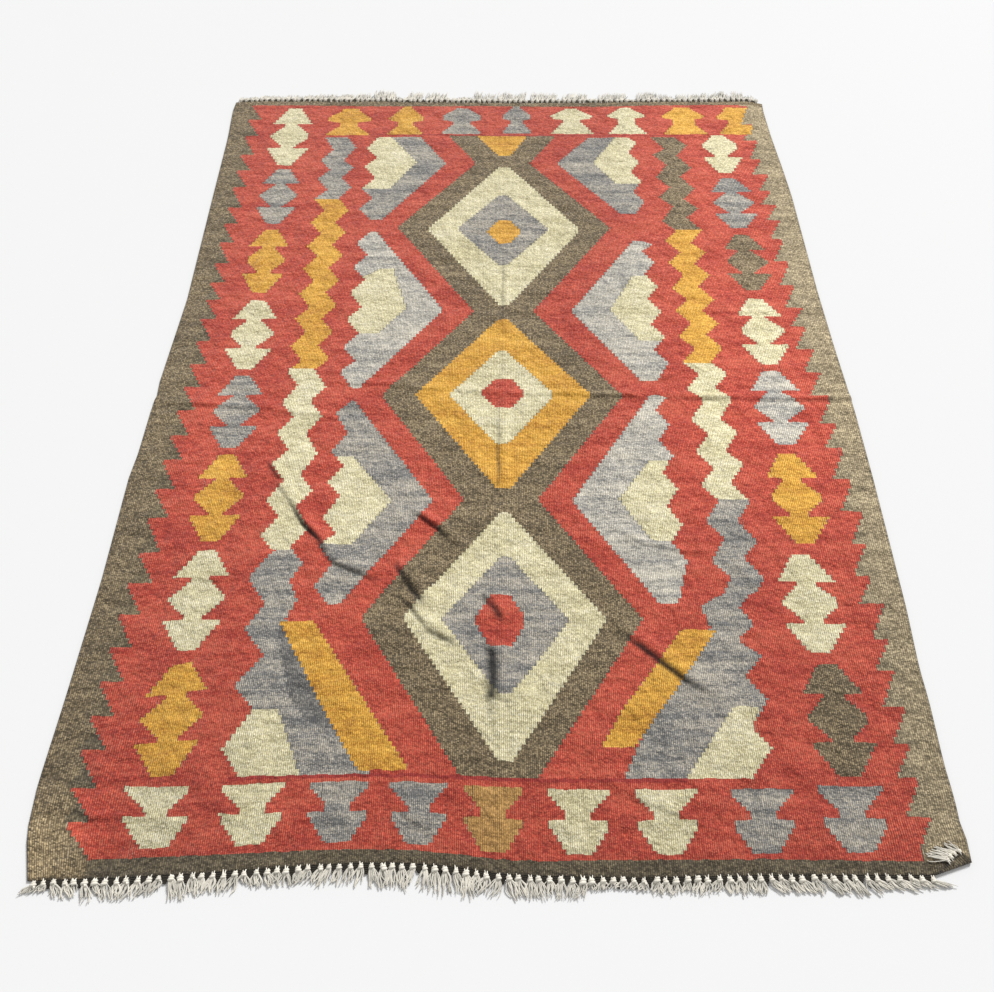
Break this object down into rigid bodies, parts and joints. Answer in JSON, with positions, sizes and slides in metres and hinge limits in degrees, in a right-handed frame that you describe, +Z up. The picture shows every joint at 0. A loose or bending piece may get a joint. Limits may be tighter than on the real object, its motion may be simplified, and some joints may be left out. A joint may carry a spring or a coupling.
{
  "type": "kilim rug",
  "caption": "Flat-woven wool kilim rug laid on a floor, with knotted warp fringes, soft storage folds and one turned-over corner.",
  "frame": {"origin": "on the floor under the middle of the rug", "axes": "+X across the rug to the right, +Y along it from the near end to the far end, +Z up from the floor"},
  "size_m": [1.237, 1.8143, 0.007],
  "materials": {
    "wool_cloth": "matt flat-woven wool, brick red with gold, cream, blue-grey and brown patterns",
    "warp_fringe": "matt off-white warp yarn"
  },
  "bodies": {
    "root": {"kilim_cloth": "wool_cloth", "near_fringe": "warp_fringe", "far_fringe": "warp_fringe", "corner_fringe": "warp_fringe"}
  },
  "joints": []
}
